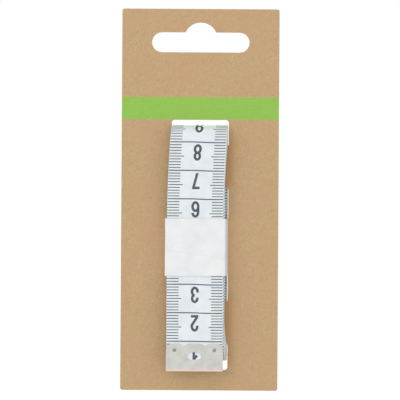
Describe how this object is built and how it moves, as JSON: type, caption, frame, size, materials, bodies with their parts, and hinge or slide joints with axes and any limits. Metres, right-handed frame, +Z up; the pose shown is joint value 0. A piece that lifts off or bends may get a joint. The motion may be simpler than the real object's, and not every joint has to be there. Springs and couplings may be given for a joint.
{
  "type": "tape measure",
  "caption": "Sewing tape measure of coated cloth, wound flat through a kraft hang card and held by a paper band, with metal end clips.",
  "frame": {"origin": "the point under the top of the card's hanging slot that rests on a peg hook, at mid thickness of the card", "axes": "+Z up as it hangs, +X to the right seen from the front, -Y out of the printed front of the card"},
  "size_m": [0.0558, 0.0125, 0.1352],
  "materials": {
    "kraft_board": "matte",
    "coated_cloth": "satin",
    "tinplate": "satin",
    "white_paper": "matte"
  },
  "bodies": {
    "card": {"hang_card": "kraft_board"},
    "winding": {"tape_coil": "coated_cloth", "inner_end_clip": "tinplate"},
    "band": {"paper_band": "white_paper"},
    "end_upper": {"tape_end_upper": "coated_cloth"},
    "end_lower": {"tape_end_lower": "coated_cloth", "outer_end_clip": "tinplate"}
  },
  "joints": [
    {"name": "winding_slide", "type": "slide", "parent": "card", "child": "winding", "axis": [0, 0, 1], "range_m": [-0.0012, 0.0003]},
    {"name": "band_slide", "type": "slide", "parent": "winding", "child": "band", "axis": [0, 0, 1], "range_m": [-0.0072, 0.0095]},
    {"name": "end_lift", "type": "hinge", "parent": "winding", "child": "end_upper", "pos_m": [-0.0016, -0.00573, -0.09851], "axis": [-1, 0, 0], "range_deg": [0, 75]},
    {"name": "end_curl", "type": "hinge", "parent": "end_upper", "child": "end_lower", "pos_m": [-0.0016, -0.00598, -0.10731], "axis": [-1, 0, 0], "range_deg": [0, 70]}
  ]
}
